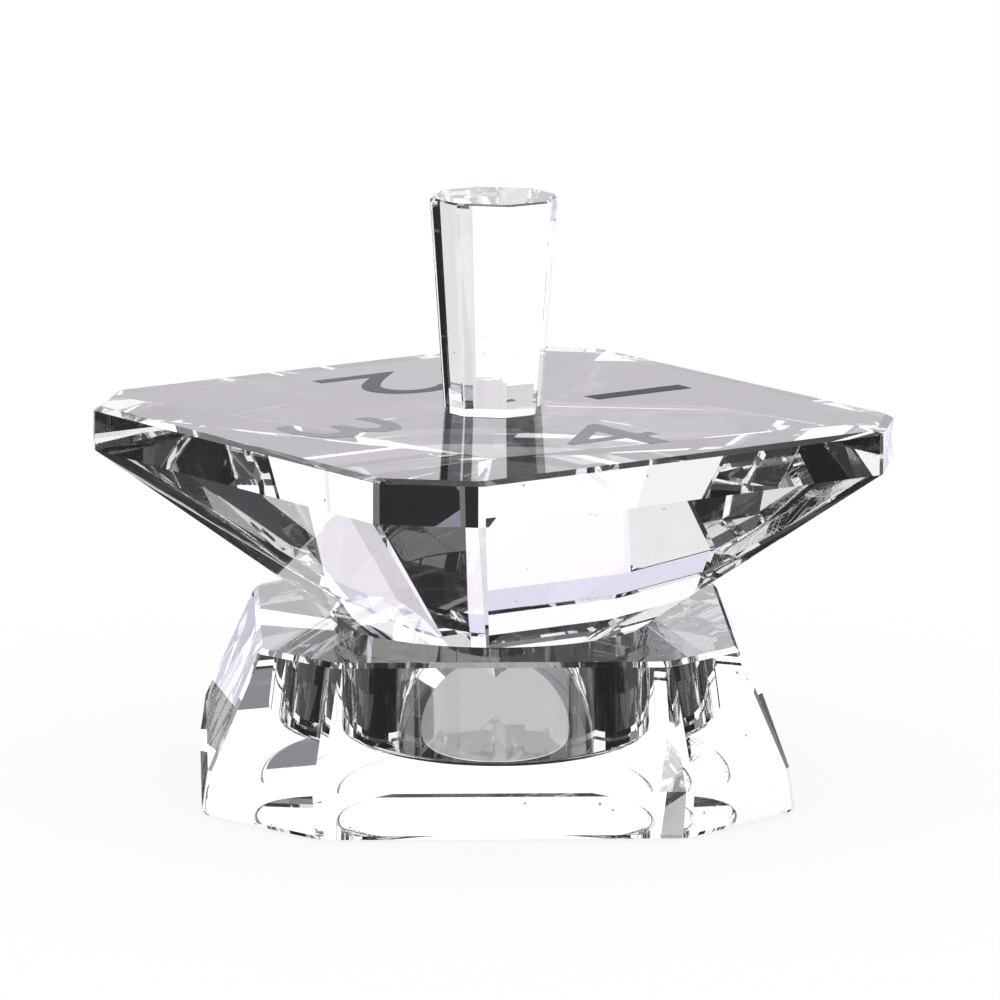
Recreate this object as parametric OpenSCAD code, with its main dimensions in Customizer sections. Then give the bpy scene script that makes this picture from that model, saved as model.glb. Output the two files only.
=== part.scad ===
// Crystal dreidel resting in a crystal display stand.
// A square block of clear crystal has its four corners cut, a bevelled table on top
// and an eight-sided point below. An eight-sided handle, wider at its top, is bonded to
// the table. The point hangs in a round bore in the stand, and the long edges of the
// point rest on the bore's mouth.
// The origin is the middle of the stand's foot. X and Y follow the sides of the stand.

/* [Block] */
// Width of the block between opposite sides
block_side = 80; // [60:1:110]
// Length that each cut takes off both sides of a corner
block_corner_cut = 9.2; // [4:0.1:16]
// Width of the bevel round the table, measured flat
table_bevel_width = 1; // [0.4:0.1:2.5]
// Drop of the bevel round the table
table_bevel_drop = 0.5; // [0.2:0.05:2]
// Height of the upright band round the block
girdle_height = 5; // [2:0.1:12]
// Depth of the point below the band
point_depth = 34.8; // [26:0.2:46]
// Width of the small polished end of the point
tip_width = 0.8; // [0.4:0.1:3]
// Width of the polished strip along each upright edge of the block
block_edge_strip = 0.5; // [0.2:0.05:1]
// Turn of the block on its stand, in degrees
block_turn = 33.8; // [0:0.1:90]

/* [Handle] */
// Width of the handle's top between opposite faces
handle_top_width = 15.1; // [10:0.1:24]
// Width of the handle's foot between opposite faces
handle_foot_width = 11.5; // [8:0.1:20]
// Height of the handle above the table
handle_height = 27.2; // [15:0.2:45]
// Width of the polished strip along the handle's edges
handle_edge_strip = 0.25; // [0.1:0.05:0.6]
// Turn of the handle about the upright axis, in degrees
handle_turn = -13.7; // [-45:0.1:45]
// Thickness of the clear bond between the table and the handle
bond_gap = 0.05; // [0.02:0.01:0.1]

/* [Stand] */
// Height of the stand
stand_height = 20.7; // [20:0.2:36]
// Width of the stand's top between opposite sides
stand_top_width = 59.8; // [52:0.2:72]
// Width of the stand where the foot band begins
stand_shoulder_width = 72.2; // [66:0.2:90]
// Width of the stand at the foot
stand_foot_width = 73.7; // [66:0.2:92]
// Height of the foot band
foot_band_height = 5.8; // [2:0.1:8]
// Length that each corner cut takes off both sides at the top
top_corner_cut = 9.2; // [4:0.1:14]
// Length that each corner cut takes off both sides where the foot band begins
shoulder_corner_cut = 13.1; // [6:0.1:20]
// Length that each corner cut takes off both sides at the foot
foot_corner_cut = 14.2; // [6:0.1:20]
// Width of the polished strip along each edge of the stand
stand_edge_strip = 0.6; // [0.2:0.1:1.2]

/* [Bore] */
// Radius of the bore that takes the point
bore_radius = 20; // [16:0.1:24]
// Depth of the bore
bore_depth = 16.4; // [15:0.1:19]
// Width of the bevel round the bore's mouth
mouth_bevel = 0.4; // [0.2:0.1:1]
// Radius of the corner between the bore's wall and its floor
floor_round = 0.8; // [0.3:0.1:2]
// Clear height between the point's edges and the bore's mouth
seat_gap = 0.1; // [0.05:0.01:0.4]

/* [Hidden] */
// Segments in a full circle
curve_segments = 96;
// Length by which a cut runs past the surface that it opens
overrun = 1;
// Part of an edge's length that lies along each side of a square cut at 45 degrees
diagonal_share = sqrt(1 / 2);
// Part of the handle's width that each corner cut takes. A regular octagon has 0.293.
handle_cut_share = 0.272;

// Distance from the axis to the edges beside a corner cut, at the band's lower edge
edge_reach = norm([block_side / 2, block_side / 2 - block_corner_cut]);
// Radius of the circle on which the point's edges rest
mouth_radius = bore_radius + mouth_bevel;
// Height at which the sides of the point would meet
apex_z = stand_height + seat_gap - point_depth * mouth_radius / edge_reach;
// Heights of the block's rings
girdle_low_z = apex_z + point_depth;
girdle_high_z = girdle_low_z + girdle_height;
table_z = girdle_high_z + table_bevel_drop;
// Height of the handle's foot
handle_foot_z = table_z + bond_gap;
// The point's small end, as a share of the block's width, and its height
tip_share = tip_width / block_side;
tip_z = apex_z + point_depth * tip_share;
// Height of the bore's floor
floor_z = stand_height - bore_depth;

// One corner of a square whose corner is cut off, with a strip at both ends of the cut
function cut_corner(half, cut, strip) = [
    [half, half - cut - strip],
    [half - strip * diagonal_share, half - cut + strip * diagonal_share],
    [half - cut + strip * diagonal_share, half - strip * diagonal_share],
    [half - cut - strip, half]
];

// The whole outline at one height, counter-clockwise from above
function ring(half, cut, strip, z) = [
    for (corner = [0:3], p = cut_corner(half, cut, strip))
        [
            p.x * cos(90 * corner) - p.y * sin(90 * corner),
            p.x * sin(90 * corner) + p.y * cos(90 * corner),
            z
        ]
];

// The corner cut that stays level all round when a cut square is drawn in by a width
function drawn_in(cut, width) = cut - width * (2 - sqrt(2));

// A solid with flat facets through rings of equally many points, from the lowest up
module facets_through(rings) {
    n = len(rings[0]);
    last = len(rings) - 1;
    polyhedron(
        points = [for (r = rings) each r],
        faces = concat(
            [[for (i = [0:n - 1]) i]],
            [
                for (level = [0:last - 1], i = [0:n - 1])
                    let (j = (i + 1) % n)
                    [level * n + j, level * n + i, (level + 1) * n + i, (level + 1) * n + j]
            ],
            [[for (i = [n - 1:-1:0]) last * n + i]]
        )
    );
}

// The bore with its rounded floor corner and bevelled mouth
module bore() {
    translate([0, 0, floor_z])
        rotate_extrude($fn = curve_segments) {
            square([bore_radius - floor_round, bore_depth + overrun]);
            translate([0, floor_round])
                square([bore_radius, bore_depth - floor_round + overrun]);
            translate([bore_radius - floor_round, floor_round])
                circle(r = floor_round, $fn = curve_segments);
        }
    translate([0, 0, stand_height - mouth_bevel])
        cylinder(
            r1 = bore_radius,
            r2 = mouth_radius + overrun,
            h = mouth_bevel + overrun,
            $fn = curve_segments
        );
}

// Square stand with cut corners, sloping sides, an upright foot band and the bore
module stand() {
    strip = stand_edge_strip;
    top_half = stand_top_width / 2;
    shoulder_half = stand_shoulder_width / 2;
    foot_half = stand_foot_width / 2;
    color("aliceblue", 0.4)
        difference() {
            facets_through([
                ring(foot_half - strip, drawn_in(foot_corner_cut, strip), strip, 0),
                ring(foot_half, foot_corner_cut, strip, strip),
                ring(shoulder_half, shoulder_corner_cut, strip, foot_band_height),
                ring(top_half, top_corner_cut, strip, stand_height - strip),
                ring(top_half - strip, drawn_in(top_corner_cut, strip), strip, stand_height)
            ]);
            bore();
        }
}

// Square block with cut corners, a bevelled table, an upright band and the point
module block() {
    half = block_side / 2;
    cut = block_corner_cut;
    strip = block_edge_strip;
    inset = table_bevel_width;
    color("lavender", 0.4)
        rotate([0, 0, block_turn])
            facets_through([
                ring(half * tip_share, cut * tip_share, strip * tip_share, tip_z),
                ring(half, cut, strip, girdle_low_z),
                ring(half, cut, strip, girdle_high_z),
                ring(half - inset, drawn_in(cut, inset), strip, table_z)
            ]);
}

// Eight-sided handle, wider at its top, on the clear bond in the middle of the table
module handle() {
    strip = handle_edge_strip;
    foot_half = handle_foot_width / 2;
    top_half = handle_top_width / 2;
    foot_cut = handle_foot_width * handle_cut_share;
    top_cut = handle_top_width * handle_cut_share;
    top_z = handle_foot_z + handle_height;
    color("white", 0.4)
        rotate([0, 0, handle_turn])
            facets_through([
                ring(foot_half, foot_cut, strip, handle_foot_z),
                ring(top_half, top_cut, strip, top_z - strip),
                ring(top_half - strip, drawn_in(top_cut, strip), strip, top_z)
            ]);
}

stand();
block();
handle();
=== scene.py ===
# %% [markdown]
# # A crystal dreidel on its stand
# A dreidel is a spinning top with four sides. This one is made for a shelf: a clear cut
# block with an eight-sided handle rests with its point in the round bore of a clear stand.
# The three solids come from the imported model, already at their real size and place, so
# this file never moves them. It gives them their finish, adds the frosted figures in the
# table, and builds the small studio that makes clear crystal readable.

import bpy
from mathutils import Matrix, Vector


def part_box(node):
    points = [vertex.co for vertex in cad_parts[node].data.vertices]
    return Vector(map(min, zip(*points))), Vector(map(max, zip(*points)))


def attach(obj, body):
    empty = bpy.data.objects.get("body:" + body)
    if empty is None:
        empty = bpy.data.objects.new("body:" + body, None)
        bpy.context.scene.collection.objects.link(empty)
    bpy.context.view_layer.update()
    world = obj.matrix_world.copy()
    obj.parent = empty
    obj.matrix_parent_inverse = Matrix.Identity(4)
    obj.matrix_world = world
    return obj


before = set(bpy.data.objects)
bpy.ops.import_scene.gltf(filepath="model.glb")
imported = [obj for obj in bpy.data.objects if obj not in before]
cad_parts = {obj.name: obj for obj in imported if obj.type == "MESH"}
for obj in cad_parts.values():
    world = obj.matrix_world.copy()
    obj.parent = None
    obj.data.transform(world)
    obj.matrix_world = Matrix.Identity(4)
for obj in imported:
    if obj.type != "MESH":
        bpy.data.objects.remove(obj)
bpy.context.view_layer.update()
print("loaded", sorted(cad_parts))

# %% [markdown]
# ## The tools used below
# Blender measures in metres and most sizes of this object are a few millimetres, so one
# named millimetre keeps the numbers short. Directions are counted from the point behind
# the object: 0 degrees is straight behind, and positive angles turn to the viewer's right.

# %% Units and directions
import math

import bmesh
import bpy
from mathutils import Matrix, Vector

MM = 0.001
scene = bpy.context.scene


def towards(azimuth, elevation=0.0):
    """Unit vector at an azimuth from straight behind and a height angle, in degrees."""
    turned = math.radians(azimuth)
    raised = math.radians(elevation)
    return Vector((math.cos(raised) * math.sin(turned), math.cos(raised) * math.cos(turned),
                   math.sin(raised)))


# %% [markdown]
# ## The camera
# A long lens from one metre away keeps the facets' edges nearly parallel, as in a
# catalogue picture. The lens is given by how many picture points one radian covers, which
# turns into a focal length through the sensor's width. The camera looks down by 10.6
# degrees and rolls a quarter of a degree, as a camera held level by eye does.

# %% Camera
POINTS_PER_RADIAN = 7924.0
PICTURE_POINTS = 1000.0
SENSOR_WIDTH = 36.0
NEAR_CLIP = 0.01
FAR_CLIP = 100.0
CAMERA_DISTANCE = 1.0
LOOK_DOWN = math.radians(10.63)
CAMERA_TURN = math.radians(-2.5)
CAMERA_ROLL = math.radians(0.26)
LOOK_AT = Vector((0.95 * MM, 0.0, 35.5 * MM))


def make_camera():
    """A camera whose axes are built from the direction in which it looks."""
    data = bpy.data.cameras.new("camera")
    data.sensor_width = SENSOR_WIDTH
    data.lens = POINTS_PER_RADIAN * SENSOR_WIDTH / PICTURE_POINTS
    data.clip_start = NEAR_CLIP
    data.clip_end = FAR_CLIP
    turn = Matrix.Rotation(CAMERA_TURN, 3, "Z")
    forward = turn @ Vector((0, math.cos(LOOK_DOWN), -math.sin(LOOK_DOWN)))
    level = forward.cross(Vector((0, 0, 1))).normalized()
    upright = level.cross(forward)
    right = math.cos(CAMERA_ROLL) * level + math.sin(CAMERA_ROLL) * upright
    up = math.cos(CAMERA_ROLL) * upright - math.sin(CAMERA_ROLL) * level
    matrix = Matrix((right, up, -forward)).transposed().to_4x4()
    matrix.translation = turn @ LOOK_AT - forward * CAMERA_DISTANCE
    camera = bpy.data.objects.new("camera", data)
    scene.collection.objects.link(camera)
    camera.matrix_world = matrix
    scene.camera = camera
    return camera


camera = make_camera()
scene.view_settings.view_transform = "Standard"
print("lens %.0f mm at %.2f m" % (camera.data.lens, CAMERA_DISTANCE))

# %% [markdown]
# ## Light through many facets
# A ray that enters cut crystal is thrown about inside it many times before it leaves.
# Blender stops following a ray after a few turns and then paints it black, which would
# fill the block with false shadows. More turns cost little here, because the scene is
# small.

# %% Ray depth
RAY_TURNS = 24

scene.cycles.max_bounces = RAY_TURNS
scene.cycles.glossy_bounces = RAY_TURNS
scene.cycles.transmission_bounces = RAY_TURNS
print("rays turn up to", scene.cycles.max_bounces, "times")

# %% [markdown]
# ## Short ways to build nodes
# Every finish below is a small tree of nodes. Four helpers keep such trees short: one
# places a node, one does sums with numbers or with other nodes' outputs, one blends two
# colours, and one ends a tree in its output. A Mix node holds sockets for several kinds
# of value, so its colour sockets are found by their numbers.

# %% Node helpers
MIX_FIRST, MIX_SECOND, MIX_RESULT = 6, 7, 2


def add_node(tree, kind, **values):
    """Adds a shader node and sets its own properties."""
    node = tree.nodes.new(kind)
    for name, value in values.items():
        setattr(node, name, value)
    return node


def math_node(tree, operation, *values, clamp=False):
    """A Math node whose inputs are either numbers or outputs of other nodes."""
    node = add_node(tree, "ShaderNodeMath", operation=operation, use_clamp=clamp)
    for socket, value in zip(node.inputs, values):
        if isinstance(value, (int, float)):
            socket.default_value = value
        else:
            tree.links.new(value, socket)
    return node.outputs[0]


def blend_colours(tree, share, first, second):
    """The first colour where the share is 0 and the second where it is 1."""
    node = add_node(tree, "ShaderNodeMix", data_type="RGBA")
    node.inputs[MIX_FIRST].default_value = first
    node.inputs[MIX_SECOND].default_value = second
    tree.links.new(share, node.inputs[0])
    return node.outputs[MIX_RESULT]


def end_tree(tree, surface, kind="ShaderNodeOutputMaterial"):
    """Links the finished surface to a new output node."""
    tree.links.new(surface, add_node(tree, kind).inputs["Surface"])


print("mix sockets", MIX_FIRST, MIX_SECOND, MIX_RESULT)

# %% [markdown]
# ## A white world
# Clear crystal has no colour of its own. It shows what stands round it, so a pure white
# world makes it bright. Light Path tells the rays apart: the camera, and rays that come
# through or off the crystal, meet plain white, while the rays that light dull surfaces
# meet a slightly softer white.

# %% World
WHITE = (1.0, 1.0, 1.0, 1.0)
SOFT_WHITE = (0.86, 0.87, 0.90, 1.0)


def seen_clearly(tree):
    """1 for camera rays and for rays that come off or through crystal, else 0."""
    path = add_node(tree, "ShaderNodeLightPath")
    sight = math_node(tree, "MAXIMUM", path.outputs["Is Camera Ray"],
                      path.outputs["Is Glossy Ray"])
    return math_node(tree, "MAXIMUM", sight, path.outputs["Is Transmission Ray"])


def make_world():
    """White where it is seen, a little softer where it only lights."""
    world = bpy.data.worlds.new("white_studio")
    world.use_nodes = True
    tree = world.node_tree
    tree.nodes.clear()
    background = add_node(tree, "ShaderNodeBackground")
    tree.links.new(blend_colours(tree, seen_clearly(tree), SOFT_WHITE, WHITE),
                   background.inputs["Color"])
    end_tree(tree, background.outputs[0], "ShaderNodeOutputWorld")
    scene.world = world
    return world


print("world", make_world().name)

# %% [markdown]
# ## The floor
# The stand rests on a plain white floor. One large sheet a hair below the foot does it.
# Most of its light is its own, so that it joins the white behind without a line, and the
# rest is a dull white that the object can shade, so that a soft shadow stays.

# %% Floor
FLOOR_DROP = 0.2 * MM
FLOOR_REACH = 3.0
FLOOR_GLOW = 0.86
FLOOR_DULL = (0.16, 0.16, 0.16, 1.0)


def mesh_object(name, points, faces, material):
    """A mesh object with one material."""
    mesh = bpy.data.meshes.new(name)
    mesh.from_pydata([tuple(point) for point in points], [], faces)
    mesh.materials.append(material)
    made = bpy.data.objects.new(name, mesh)
    scene.collection.objects.link(made)
    return made


def blank_material(name):
    """A material and its node tree, emptied."""
    material = bpy.data.materials.new(name)
    material.use_nodes = True
    material.node_tree.nodes.clear()
    return material, material.node_tree


def floor_material():
    """White light of its own where it is seen, over a dull white."""
    material, tree = blank_material("floor_white")
    glow = add_node(tree, "ShaderNodeEmission")
    tree.links.new(math_node(tree, "MULTIPLY", seen_clearly(tree), FLOOR_GLOW),
                   glow.inputs["Strength"])
    dull = add_node(tree, "ShaderNodeBsdfDiffuse")
    dull.inputs["Color"].default_value = FLOOR_DULL
    both = add_node(tree, "ShaderNodeAddShader")
    tree.links.new(glow.outputs[0], both.inputs[0])
    tree.links.new(dull.outputs[0], both.inputs[1])
    end_tree(tree, both.outputs[0])
    return material


corners = [(x * FLOOR_REACH, y * FLOOR_REACH, -FLOOR_DROP)
           for x, y in ((-1, -1), (1, -1), (1, 1), (-1, 1))]
floor = mesh_object("floor", corners, [(0, 1, 2, 3)], floor_material())
print("floor %.0f m wide" % (2 * FLOOR_REACH))

# %% [markdown]
# ## Sheets, cloths, cards and soft boxes
# White alone would make the crystal vanish. Photographers of glass keep a bright sheet
# behind it, hang black cloth where a facet has to turn dark, and set grey cards and soft
# boxes between. Every facet then shows the one it looks at, with a sharp edge. Each flag
# is given by its directions from the object, either on a dome round it or on the floor.
# A later flag hangs a little nearer and covers the ones before it. A few carry a faint
# tint, as cloth and lamps do. The open parts keep the crystal clear from the back and the
# sides too.

# %% List of flags
PLAIN = (1.0, 1.0, 1.0)
BLUE = (0.92, 0.93, 1.0)
MAUVE = (0.99, 0.945, 1.0)
LAVENDER = (0.87, 0.865, 1.0)

# name, azimuths, elevations, brightness, tint
DOME_FLAGS = [
    ("sheet_behind", (-60.0, 60.0), (0, 90), 1.30, MAUVE),
    ("cloth_room", (52.5, 322.5), (0, 60), 0.02, BLUE),
    ("card_overhead", (-22.5, 172.5), (36, 90), 0.20, MAUVE),
    ("softbox_left", (-112.5, 7.5), (48, 76), 1.00, PLAIN),
    ("cloth_behind_left", (-37.5, -22.5), (12, 25), 0.05, BLUE),
    ("cloth_overhead_left", (-67.5, -7.5), (54, 90), 0.03, BLUE),
    ("strip_right", (67.5, 97.5), (6, 16), 1.50, PLAIN),
    ("softbox_right", (52.5, 67.5), (36, 76), 1.15, PLAIN),
    ("card_behind_right", (22.5, 52.5), (16, 30), 0.30, BLUE),
    ("card_low_left", (-52.5, -22.5), (0, 12), 1.10, PLAIN),
    ("sheet_low_front", (97.5, 262.5), (0, 8), 1.00, PLAIN),
    ("softbox_front", (97.5, 187.5), (13, 23), 1.00, PLAIN),
    ("softbox_left_low", (217.5, 282.5), (12, 20), 1.00, PLAIN),
    ("softbox_left_high", (232.5, 292.5), (28, 40), 1.00, PLAIN),
    ("card_right_high", (67.5, 187.5), (42, 54), 0.80, PLAIN),
    ("cloth_low_right", (22.5, 37.5), (3, 6), 0.12, BLUE),
    ("card_low_left_grey", (-37.5, -22.5), (3, 6), 0.55, PLAIN),
]
# name, azimuths, distances from the axis in metres, brightness, tint
FLOOR_FLAGS = [
    ("floor_sheet", (-180, 180), (0.0, 2.9), 1.25, PLAIN),
    ("floor_cloth", (7.5, 262.5), (0.015, 2.9), 0.02, BLUE),
    ("floor_cloth_near", (-97.5, 97.5), (0.0, 0.35), 0.08, BLUE),
    ("floor_ring", (67.5, 277.5), (0.14, 0.25), 0.90, PLAIN),
    ("floor_ring_left", (-52.5, -22.5), (0.18, 0.35), 0.90, PLAIN),
    ("floor_ring_right", (37.5, 82.5), (0.18, 0.35), 0.90, PLAIN),
    ("floor_strip_right", (22.5, 37.5), (0.06, 0.5), 1.50, LAVENDER),
    ("floor_card_right", (7.5, 37.5), (0.5, 1.3), 0.85, PLAIN),
    ("floor_card_front", (97.5, 262.5), (0.35, 1.3), 1.00, PLAIN),
    ("floor_card_far_right", (97.5, 157.5), (1.3, 2.9), 1.00, PLAIN),
    ("floor_card_far_left", (202.5, 262.5), (1.3, 2.9), 1.00, PLAIN),
    ("floor_patch_left", (-67.5, -52.5), (0.0, 0.06), 1.50, PLAIN),
    ("floor_patch_behind", (-37.5, 22.5), (0.09, 0.18), 1.05, LAVENDER),
    ("floor_card_under", (-180, 180), (0.0, 0.015), 0.42, PLAIN),
]
print(len(DOME_FLAGS), "flags for the dome and", len(FLOOR_FLAGS), "for the floor")

# %% [markdown]
# ## Hanging the flags
# A flag is a sheet of small faces through rows of points, bent to the dome or laid flat.
# It gives one even light. Cameras, dull surfaces and shadows leave it out, so only the
# crystal sees it. Blender would also aim rays at every glowing face to light the scene
# with it. That is switched off, because the flags are only there to be looked at.

# %% Flags
DOME_RADIUS = 2.6
DOME_STEP = 20 * MM
FLOOR_FLAG_DROP = 0.1 * MM
FLOOR_FLAG_STEP = 0.006 * MM
FACES_ROUND = 48
FACES_UP = 16
FACES_OUT = 2


def flag_material(name, brightness, tint):
    """Plain light of one brightness and a faint tint."""
    material, tree = blank_material(name)
    glow = add_node(tree, "ShaderNodeEmission")
    glow.inputs["Color"].default_value = (*tint, 1.0)
    glow.inputs["Strength"].default_value = brightness
    end_tree(tree, glow.outputs[0])
    material.cycles.emission_sampling = "NONE"
    return material


def hang_flag(name, rows, brightness, tint):
    """Makes a sheet through rows of points for crystal alone and counts its faces."""
    wide = len(rows[0])
    points = [point for row in rows for point in row]
    faces = [(first, first + 1, first + 1 + wide, first + wide)
             for first in range(len(points) - wide) if (first + 1) % wide]
    flag = mesh_object(name, points, faces, flag_material(name, brightness, tint))
    flag.visible_camera = False
    flag.visible_diffuse = False
    flag.visible_shadow = False
    return len(faces)


def between(limits, steps):
    """Evenly spaced values between two limits."""
    low, high = limits
    return [low + (high - low) * step / steps for step in range(steps + 1)]


hung = 0
for layer, (name, azimuths, elevations, *light) in enumerate(DOME_FLAGS):
    radius = DOME_RADIUS - DOME_STEP * layer
    rows = [[radius * towards(azimuth, elevation) for azimuth in between(azimuths, FACES_ROUND)]
            for elevation in between(elevations, FACES_UP)]
    hung += hang_flag(name, rows, *light)
for layer, (name, azimuths, reaches, *light) in enumerate(FLOOR_FLAGS):
    height = Vector((0, 0, FLOOR_FLAG_STEP * layer - FLOOR_FLAG_DROP))
    rows = [[reach * towards(azimuth) + height for azimuth in between(azimuths, FACES_ROUND)]
            for reach in between(reaches, FACES_OUT)]
    hung += hang_flag(name, rows, *light)
print("the flags have", hung, "faces")

# %% [markdown]
# ## Node groups and soft patches
# Even clean crystal carries specks of dust, and the polishing wheel leaves hair-fine arcs
# that catch light at a slant. Both are small beside the facets, so they are made in the
# material instead of the mesh. Each is a node group, built once and used by all three
# solids with their own values. Dust gathers here and there, and polishing lines show only
# in places, so both groups begin with the same soft noise, which is cut into patches.

# %% Group helpers
NOISE_DETAIL = 1.0
PATCH_CONTRAST = 5.0


def new_group(name, inputs, output):
    """An empty node group with named inputs and one output."""
    tree = bpy.data.node_groups.new(name, "ShaderNodeTree")
    for label, kind in inputs.items():
        tree.interface.new_socket(label, in_out="INPUT", socket_type="NodeSocket" + kind)
    tree.interface.new_socket(output, in_out="OUTPUT", socket_type="NodeSocketFloat")
    given = add_node(tree, "NodeGroupInput").outputs
    return tree, given, add_node(tree, "NodeGroupOutput").inputs[output]


def vector_node(tree, operation, first, second):
    """A Vector Math node fed by two links."""
    node = add_node(tree, "ShaderNodeVectorMath", operation=operation)
    tree.links.new(first, node.inputs[0])
    tree.links.new(second, node.inputs["Scale" if operation == "SCALE" else 1])
    return node.outputs[0]


def soft_noise(tree, given):
    """Noise with blobs about as wide as the group's Patch input."""
    noise = add_node(tree, "ShaderNodeTexNoise")
    noise.inputs["Detail"].default_value = NOISE_DETAIL
    tree.links.new(given["Place"], noise.inputs["Vector"])
    tree.links.new(math_node(tree, "DIVIDE", 1.0, given["Patch"]), noise.inputs["Scale"])
    return noise.outputs[0]


def patches(tree, noise, threshold):
    """0 where the noise is under a threshold, rising to 1 soon above it."""
    return math_node(tree, "MULTIPLY_ADD", noise, PATCH_CONTRAST,
                     -PATCH_CONTRAST * threshold, clamp=True)


print("patches rise over", 1 / PATCH_CONTRAST, "of the noise's range")

# %% [markdown]
# ## Dust
# A Voronoi pattern has one random point in each small cell. A share of the cells gets a
# round speck about its point. The cell's random colour decides whether there is one and
# how large it is, and raising that chance to a power makes most specks small.

# %% Dust group
DUST_THRESHOLD = 0.42
SMALLEST_SPECK = 0.05
SPECK_SPREAD = 0.12
SPECK_POWER = 3.0
SPECK_EDGE = 25.0


def dust_group():
    """Round specks, one in a share of the cells, of mixed sizes."""
    tree, given, result = new_group(
        "dust_specks",
        dict(Place="Vector", Spacing="Float", Share="Float", Patch="Float"),
        "Specks",
    )
    gathered = patches(tree, soft_noise(tree, given), DUST_THRESHOLD)
    share = math_node(tree, "MULTIPLY", gathered, given["Share"])
    per_cell = math_node(tree, "DIVIDE", 1.0, given["Spacing"])
    cells = add_node(tree, "ShaderNodeTexVoronoi", feature="F1")
    cells.inputs["Scale"].default_value = 1.0
    tree.links.new(vector_node(tree, "SCALE", given["Place"], per_cell),
                   cells.inputs["Vector"])
    chance = add_node(tree, "ShaderNodeSeparateColor")
    tree.links.new(cells.outputs["Color"], chance.inputs[0])
    present = math_node(tree, "LESS_THAN", chance.outputs[0], share)
    size = math_node(tree, "POWER", chance.outputs[1], SPECK_POWER)
    radius = math_node(tree, "MULTIPLY_ADD", size, SPECK_SPREAD, SMALLEST_SPECK)
    inside = math_node(tree, "SUBTRACT", radius, cells.outputs["Distance"])
    round_speck = math_node(tree, "MULTIPLY", inside, SPECK_EDGE, clamp=True)
    tree.links.new(math_node(tree, "MULTIPLY", round_speck, present), result)
    return tree


DUST = dust_group()
print(DUST.name, "has", len(DUST.nodes), "nodes")

# %% [markdown]
# ## Polishing lines
# A polishing wheel leaves arcs round a far centre. The distance from that centre, divided
# by the spacing, gives each ring its own whole number and the place across it. Noise bends
# the rings a little. White noise turns a ring's number into its strength, so that only a
# few show, and patches break them.

# %% Polishing group
RING_BEND = 3.0
RING_MIDDLE = 0.5
LINE_NARROWNESS = 6.0
STRENGTH_POWER = 4.0
LINE_THRESHOLD = 0.44


def polish_group():
    """Broken rings round a centre, each ring with its own strength."""
    tree, given, result = new_group(
        "polishing_lines",
        dict(Place="Vector", Centre="Vector", Spacing="Float", Patch="Float"),
        "Lines",
    )
    length = add_node(tree, "ShaderNodeVectorMath", operation="LENGTH")
    tree.links.new(vector_node(tree, "SUBTRACT", given["Place"], given["Centre"]),
                   length.inputs[0])
    rings = math_node(tree, "DIVIDE", length.outputs["Value"], given["Spacing"])
    noise = soft_noise(tree, given)
    bent = math_node(tree, "MULTIPLY_ADD", noise, RING_BEND, rings)
    across = math_node(tree, "SUBTRACT", math_node(tree, "FRACT", bent), RING_MIDDLE)
    line = math_node(tree, "MULTIPLY_ADD", math_node(tree, "ABSOLUTE", across),
                     -LINE_NARROWNESS, 1.0, clamp=True)
    number = add_node(tree, "ShaderNodeTexWhiteNoise", noise_dimensions="1D")
    tree.links.new(math_node(tree, "FLOOR", bent), number.inputs["W"])
    strength = math_node(tree, "POWER", number.outputs["Value"], STRENGTH_POWER)
    shown = math_node(tree, "MULTIPLY", math_node(tree, "MULTIPLY", line, strength),
                      patches(tree, noise, LINE_THRESHOLD))
    tree.links.new(shown, result)
    return tree


POLISH = polish_group()
print(POLISH.name, "has", len(POLISH.nodes), "nodes")

# %% [markdown]
# ## Crystal
# Cut crystal bends light strongly, and that gives it its sharp white and black fields. A
# Glass shader could do this. The Principled shader does it too, with full transmission,
# and other programs can read it as well. Specks of dust darken the colour. The polishing
# lines go to a Bump node, where they tilt the surface a little, and to the roughness,
# which is none elsewhere.

# %% Crystal
CRYSTAL_INDEX = 1.52
LINE_ROUGHNESS = 0.12
DUST_COLOUR = (0.05, 0.045, 0.05, 1.0)


def use_group(tree, group, place, **values):
    """Places a node group, sets its inputs and gives its one output."""
    node = add_node(tree, "ShaderNodeGroup", node_tree=group)
    for label, value in values.items():
        node.inputs[label].default_value = value
    tree.links.new(place, node.inputs["Place"])
    return node.outputs[0]


def crystal(name, tint, dust_values, line_values, depth):
    """Clear crystal with a faint tint, dust and polishing lines."""
    material = bpy.data.materials.new(name)
    material.use_nodes = True
    tree = material.node_tree
    shader = tree.nodes["Principled BSDF"]
    shader.inputs["IOR"].default_value = CRYSTAL_INDEX
    shader.inputs["Transmission Weight"].default_value = 1.0
    place = add_node(tree, "ShaderNodeTexCoord").outputs["Object"]
    specks = use_group(tree, DUST, place, **dust_values)
    lines = use_group(tree, POLISH, place, **line_values)
    tree.links.new(blend_colours(tree, specks, tint, DUST_COLOUR),
                   shader.inputs["Base Color"])
    tree.links.new(math_node(tree, "MULTIPLY", lines, LINE_ROUGHNESS),
                   shader.inputs["Roughness"])
    bump = add_node(tree, "ShaderNodeBump")
    bump.inputs["Distance"].default_value = depth
    tree.links.new(lines, bump.inputs["Height"])
    tree.links.new(bump.outputs[0], shader.inputs["Normal"])
    return material


print("crystal bends light by", CRYSTAL_INDEX)

# %% [markdown]
# ## A finish for each solid
# The block is handled most and is the thickest, so it has the most dust and a breath of
# lavender. The handle and the stand are clear. Each solid has its own centre for the
# polishing lines, because each was held to the wheel in its own way.

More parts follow.
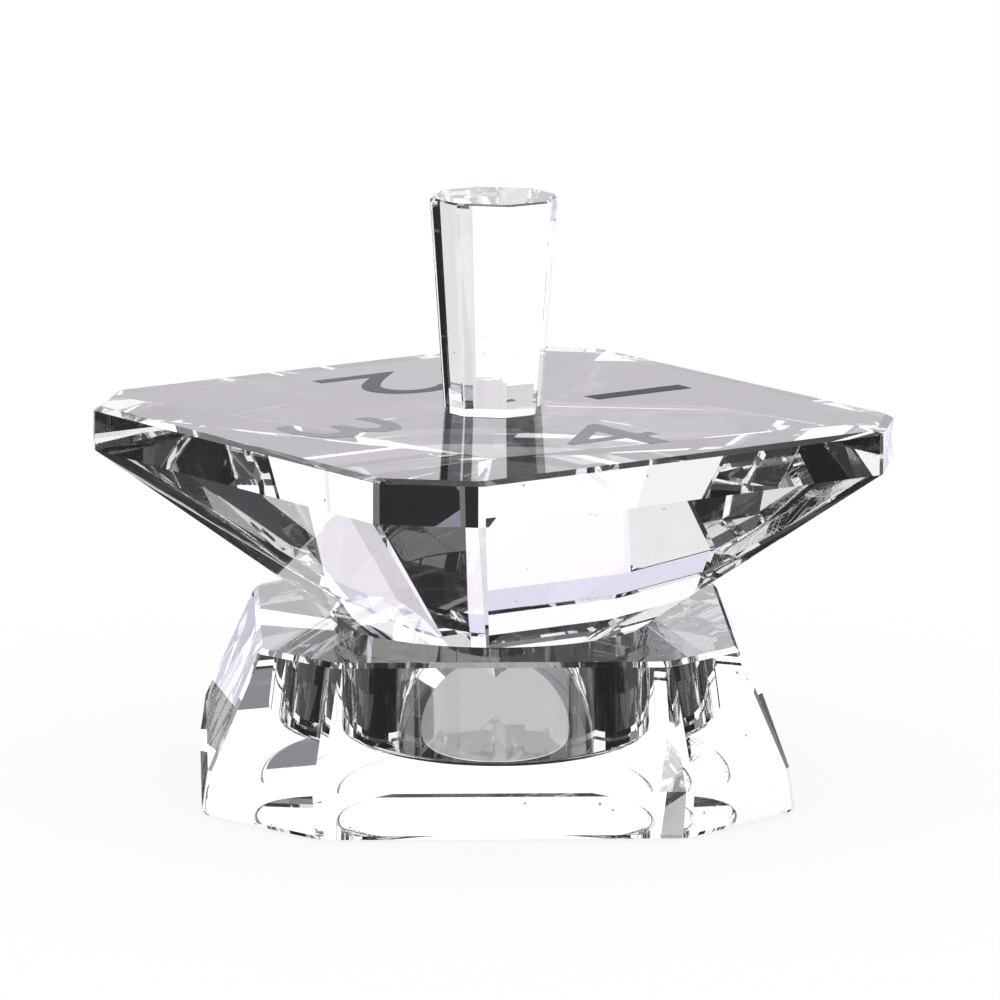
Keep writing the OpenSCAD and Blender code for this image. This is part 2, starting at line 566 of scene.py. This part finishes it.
# %% Finishes
CLEAR = (1.0, 1.0, 1.0, 1.0)
FAINT_LAVENDER = (0.985, 0.98, 0.995, 1.0)
FINISHES = {
    "block": crystal(
        "block_crystal", FAINT_LAVENDER,
        dict(Share=0.45, Spacing=1.3 * MM, Patch=16 * MM),
        dict(Centre=(-0.03, -0.09, 0.05), Spacing=0.45 * MM, Patch=9 * MM),
        0.0007 * MM,
    ),
    "handle": crystal(
        "handle_crystal", CLEAR,
        dict(Share=0.15, Spacing=1.1 * MM, Patch=6 * MM),
        dict(Centre=(0.02, -0.05, 0.30), Spacing=0.35 * MM, Patch=5 * MM),
        0.0006 * MM,
    ),
    "stand": crystal(
        "stand_crystal", CLEAR,
        dict(Share=0.2, Spacing=1.6 * MM, Patch=12 * MM),
        dict(Centre=(0.05, -0.02, -0.06), Spacing=0.5 * MM, Patch=8 * MM),
        0.0007 * MM,
    ),
}

for name, finish in FINISHES.items():
    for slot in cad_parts[name].material_slots:
        slot.material = finish
    print(name, "is", finish.name)

# %% [markdown]
# ## Frosted glass
# Each side of the table carries one frosted mark that tells which side of the top came
# up. Here they are the plain figures 1 to 4. A sand-blasted mark is a shallow bed of tiny
# pits that takes the mirror shine off the surface, so its finish is a rough grey with a
# fine grain. The two figures at the back get darker tones than the two in front, as
# painted shade for how the light falls on the table.

# %% Frosted finish
# Tones of the figures 1 to 4: right back, left back, left front, right front. The back two are
# darker as painted shade.
FIGURE_TONES_WITH_PAINTED_SHADE = [0.11, 0.20, 0.46, 0.40]
GRAIN_SIZE = 0.35 * MM
GRAIN_DETAIL = 4.0
# Place on the grain's scale, and colour as a share of the figure's tone
GRAIN_COLOURS = [(0.3, (0.8, 0.79, 0.84)), (0.75, (1.2, 1.18, 1.25))]
LEAST_ROUGHNESS = 0.55
ROUGHNESS_SPREAD = 0.3
FROST_SHINE = 0.2


def frosted(name, shaded_tone):
    """Dull grey of one tone, painted shade included, with a fine grain."""
    material = bpy.data.materials.new(name)
    material.use_nodes = True
    tree = material.node_tree
    shader = tree.nodes["Principled BSDF"]
    shader.inputs["Specular IOR Level"].default_value = FROST_SHINE
    grain = add_node(tree, "ShaderNodeTexNoise")
    grain.inputs["Scale"].default_value = 1 / GRAIN_SIZE
    grain.inputs["Detail"].default_value = GRAIN_DETAIL
    tree.links.new(add_node(tree, "ShaderNodeTexCoord").outputs["Object"],
                   grain.inputs["Vector"])
    ramp = add_node(tree, "ShaderNodeValToRGB")
    for stop, (position, shares) in zip(ramp.color_ramp.elements, GRAIN_COLOURS):
        stop.position = position
        stop.color = (*(share * shaded_tone for share in shares), 1)
    tree.links.new(grain.outputs[0], ramp.inputs[0])
    tree.links.new(ramp.outputs[0], shader.inputs["Base Color"])
    tree.links.new(math_node(tree, "MULTIPLY_ADD", grain.outputs[0], ROUGHNESS_SPREAD,
                             LEAST_ROUGHNESS), shader.inputs["Roughness"])
    return material


# One copy of the frosted finish per figure, each with its own tone. The darker back ones carry
# painted shade.
SHADED_FROSTS = [frosted("frosted_%d" % number, shaded_tone) for number, shaded_tone in enumerate(FIGURE_TONES_WITH_PAINTED_SHADE, 1)]
print("made", [frost.name for frost in SHADED_FROSTS])

# %% [markdown]
# ## The outline of a figure
# Each figure is a very thin plate. Its outline could be drawn point by point, but text
# gives a clean one at once. It is thickened by half a unit to each side, turned into a
# mesh, and scaled to the figure's width, height and thickness. The doubled points along
# its edges are then joined, so that the plate is closed.

# %% Figure plates
HALF_UNIT = 0.5
FIGURE_HEIGHT = 15 * MM
FIGURE_WIDTH_SHARE = 1.35
FIGURE_THICKNESS = 0.02 * MM
JOIN_DISTANCE = 0.001 * MM


def figure_outline(number):
    """One figure as a mesh at the size of its text, one unit thick."""
    text = bpy.data.curves.new("figure", "FONT")
    text.body = str(number)
    text.align_x = "CENTER"
    text.align_y = "CENTER"
    text.size = 1.0
    text.extrude = HALF_UNIT
    holder = bpy.data.objects.new("figure", text)
    scene.collection.objects.link(holder)
    made = bpy.data.meshes.new_from_object(holder.evaluated_get(
        bpy.context.evaluated_depsgraph_get()))
    bpy.data.objects.remove(holder)
    return made


def figure_plate(number, material):
    """The outline of one figure as a closed thin plate, centred on its own middle."""
    made = figure_outline(number)
    low = Vector([min(point.co[axis] for point in made.vertices) for axis in range(3)])
    high = Vector([max(point.co[axis] for point in made.vertices) for axis in range(3)])
    middle = (low + high) / 2
    grow = FIGURE_HEIGHT / (high.y - low.y)
    for point in made.vertices:
        point.co.x = (point.co.x - middle.x) * grow * FIGURE_WIDTH_SHARE
        point.co.y = (point.co.y - middle.y) * grow
        point.co.z *= FIGURE_THICKNESS
    mesh = bmesh.new()
    mesh.from_mesh(made)
    bmesh.ops.remove_doubles(mesh, verts=mesh.verts, dist=JOIN_DISTANCE)
    bmesh.ops.recalc_face_normals(mesh, faces=mesh.faces)
    mesh.to_mesh(made)
    mesh.free()
    made.name = "figure_%d" % number
    made.materials.clear()
    made.materials.append(material)
    return made


PLATES = [figure_plate(number, frost) for number, frost in enumerate(SHADED_FROSTS, 1)]
print("faces of the plates", [len(plate.polygons) for plate in PLATES])

# %% [markdown]
# ## The figures in the table
# One plate goes to the middle of each side of the table, a quarter turn after the one
# before, with its foot outwards. Marks cut into the block would break the clean mirror
# inside the crystal, so the plates lie a hair above the table instead. They ride with the
# dreidel when it is lifted.

# %% Figures
BLOCK_TURN = 33.8
QUARTER_TURN = 90
TABLE_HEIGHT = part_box("block")[1].z
FIGURE_REACH = 23 * MM
FIGURE_LIFT = 0.015 * MM

for side, plate in enumerate(PLATES):
    piece = bpy.data.objects.new(plate.name, plate)
    scene.collection.objects.link(piece)
    turn = Matrix.Rotation(math.radians(BLOCK_TURN + QUARTER_TURN * side), 4, "Z")
    foot_out = Matrix.Rotation(math.radians(QUARTER_TURN), 4, "Z")
    shift = Matrix.Translation((FIGURE_REACH, 0, TABLE_HEIGHT + FIGURE_LIFT))
    piece.matrix_world = turn @ shift @ foot_out
    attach(piece, "dreidel_body")
    print(piece.name, "lies at %.2f mm" % (piece.matrix_world.translation.z / MM))
